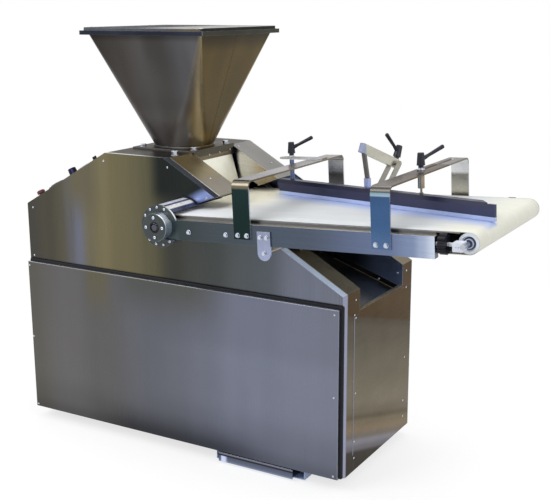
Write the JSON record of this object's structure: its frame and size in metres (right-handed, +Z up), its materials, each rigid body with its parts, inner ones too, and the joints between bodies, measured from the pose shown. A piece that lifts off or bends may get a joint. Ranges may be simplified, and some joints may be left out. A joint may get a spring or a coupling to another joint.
{
  "type": "dough divider",
  "caption": "Suction dough divider: hopper over a piston chamber and measuring drum in a stainless cabinet, with a belt conveyor and an adjustable moulding guide",
  "frame": {"origin": "on the floor under the middle of the bounding box", "axes": "+X along the belt towards its outer end, +Y from the near (controls) side to the far side, +Z up"},
  "size_m": [2.0116, 0.805, 1.652],
  "materials": {
    "stainless": "brushed stainless sheet",
    "polished": "polished stainless",
    "machined_steel": "machined steel",
    "black_plastic": "black moulded plastic",
    "grey_plastic": "grey moulded plastic",
    "red_plastic": "red moulded plastic",
    "cream_plastic": "cream plastic sheet",
    "white_plastic": "pale plastic block",
    "seal_rubber": "black rubber",
    "belt_cloth": "pale coated belt cloth",
    "motor_paint": "blue-grey machine paint",
    "frame_paint": "grey machine paint",
    "cast_block": "machined cast iron",
    "guide_coating": "dark coated steel"
  },
  "bodies": {
    "machine": {"base_frame": "frame_paint", "levelling_feet": "machined_steel", "near_side_panel": "stainless", "far_side_panel": "stainless", "near_upper_cover": "stainless", "far_upper_cover": "stainless", "near_lower_cover": "stainless", "far_lower_cover": "stainless", "end_panel": "stainless", "rear_panel": "stainless", "cable_gland": "black_plastic", "control_panel": "stainless", "control_fittings": "grey_plastic", "top_plate": "stainless", "front_plate": "cream_plastic", "trough_floor": "stainless", "service_cover": "stainless", "cover_seal": "seal_rubber", "hopper": "stainless", "hopper_base": "stainless", "hopper_bolts": "polished", "side_plates": "machined_steel", "chamber_block": "cast_block", "gearmotor": "motor_paint", "drive_chain": "machined_steel", "near_rail": "stainless", "far_rail": "stainless", "slider_bed": "stainless", "conveyor_belt": "belt_cloth", "end_axle": "polished", "mounting_tube": "polished", "bearings": "polished", "take_up_blocks": "white_plastic", "left_bridge": "stainless", "right_bridge": "stainless", "conveyor_bolts": "polished", "support_stay": "stainless"},
    "grid": {"hopper_grid": "polished"},
    "button": {"emergency_button": "red_plastic"},
    "knob": {"setting_knob": "black_plastic"},
    "selector": {"selector_switch": "black_plastic"},
    "tray": {"drip_tray": "stainless"},
    "piston": {"main_piston": "machined_steel"},
    "knife": {"knife_plate": "machined_steel"},
    "drum": {"measuring_drum": "machined_steel"},
    "pocket_pistons": {"measuring_pistons": "white_plastic"},
    "motor_output": {"drive_sprocket": "machined_steel"},
    "drive_end": {"drive_roller": "machined_steel"},
    "outer_end": {"end_roller": "machined_steel"},
    "near_star": {"near_star_knob": "black_plastic"},
    "far_star": {"far_star_knob": "black_plastic"},
    "guide_carriage": {"left_post": "polished"},
    "guide": {"guide_bar": "guide_coating", "guide_strip": "white_plastic", "right_post": "polished", "bracket_arm": "stainless", "bracket_links": "stainless"},
    "left_clamp": {"left_lever": "black_plastic"},
    "middle_clamp": {"middle_lever": "black_plastic"},
    "right_clamp": {"right_lever": "black_plastic"}
  },
  "joints": [
    {"name": "grid_lift", "type": "hinge", "parent": "machine", "child": "grid", "pos_m": [-0.69077, 0.1005, 1.646], "axis": [0, -1, 0], "range_deg": [0, 95]},
    {"name": "button_press", "type": "slide", "parent": "machine", "child": "button", "axis": [0.4913, 0, -0.871], "range_m": [0, 0.005]},
    {"name": "knob_turn", "type": "hinge", "parent": "machine", "child": "knob", "pos_m": [-0.75877, -0.1535, 1.06374], "axis": [-0.4913, 0, 0.871], "range_deg": [-150, 150]},
    {"name": "selector_turn", "type": "hinge", "parent": "machine", "child": "selector", "pos_m": [-0.65177, -0.1415, 1.1241], "axis": [-0.4913, 0, 0.871], "range_deg": [-45, 45]},
    {"name": "tray_pull", "type": "slide", "parent": "machine", "child": "tray", "axis": [0, -1, 0], "range_m": [0, 0.36]},
    {"name": "piston_stroke", "type": "slide", "parent": "machine", "child": "piston", "axis": [1, 0, 0], "range_m": [0, 0.1]},
    {"name": "knife_stroke", "type": "slide", "parent": "machine", "child": "knife", "axis": [1, 0, 0], "range_m": [0, 0.1025]},
    {"name": "drum_turn", "type": "hinge", "parent": "machine", "child": "drum", "pos_m": [-0.32077, 0.1005, 1.06], "axis": [0, -1, 0], "range_deg": [0, 120]},
    {"name": "pocket_stroke", "type": "slide", "parent": "drum", "child": "pocket_pistons", "axis": [-1, 0, 0], "range_m": [0, 0.035]},
    {"name": "drive_spin", "type": "hinge", "parent": "machine", "child": "drive_end", "pos_m": [-0.18277, 0.0005, 0.955], "axis": [0, 1, 0], "continuous": true},
    {"name": "motor_spin", "type": "hinge", "parent": "machine", "child": "motor_output", "pos_m": [-0.43077, 0.3785, 0.2], "axis": [0, 1, 0], "continuous": true},
    {"name": "outer_spin", "type": "hinge", "parent": "machine", "child": "outer_end", "pos_m": [0.96927, 0.0005, 1.01114], "axis": [0, 1, 0], "continuous": true},
    {"name": "near_star_turn", "type": "hinge", "parent": "machine", "child": "near_star", "pos_m": [0.88497, -0.3465, 1.00703], "axis": [0.9988, 0, 0.0487], "continuous": true},
    {"name": "far_star_turn", "type": "hinge", "parent": "machine", "child": "far_star", "pos_m": [0.88497, 0.3475, 1.00703], "axis": [0.9988, 0, 0.0487], "continuous": true},
    {"name": "post_slide", "type": "slide", "parent": "machine", "child": "guide_carriage", "axis": [0.9988, 0, 0.0487], "range_m": [-0.0214, 0.00494]},
    {"name": "guide_swing", "type": "hinge", "parent": "guide_carriage", "child": "guide", "pos_m": [0.04779, 0.20486, 1.14345], "axis": [-0.0487, 0, 0.9988], "range_deg": [-1.5, 6.5]},
    {"name": "left_clamp_turn", "type": "hinge", "parent": "guide_carriage", "child": "left_clamp", "pos_m": [0.04779, 0.20486, 1.14345], "axis": [-0.0487, 0, 0.9988], "range_deg": [0, 90]},
    {"name": "right_clamp_turn", "type": "hinge", "parent": "guide", "child": "right_clamp", "pos_m": [0.67656, -0.00381, 1.17409], "axis": [-0.0487, 0, 0.9988], "range_deg": [0, 90]},
    {"name": "middle_clamp_turn", "type": "hinge", "parent": "guide", "child": "middle_clamp", "pos_m": [0.48262, 0.22772, 1.17025], "axis": [0.0823, 0.3832, 0.92], "range_deg": [0, 90]}
  ],
  "couplings": [
    {"joint": "motor_spin", "follows": "drive_spin", "ratio": 1},
    {"joint": "outer_spin", "follows": "drive_spin", "ratio": 1},
    {"joint": "post_slide", "follows": "guide_swing", "m_per_rad": -0.1886}
  ]
}
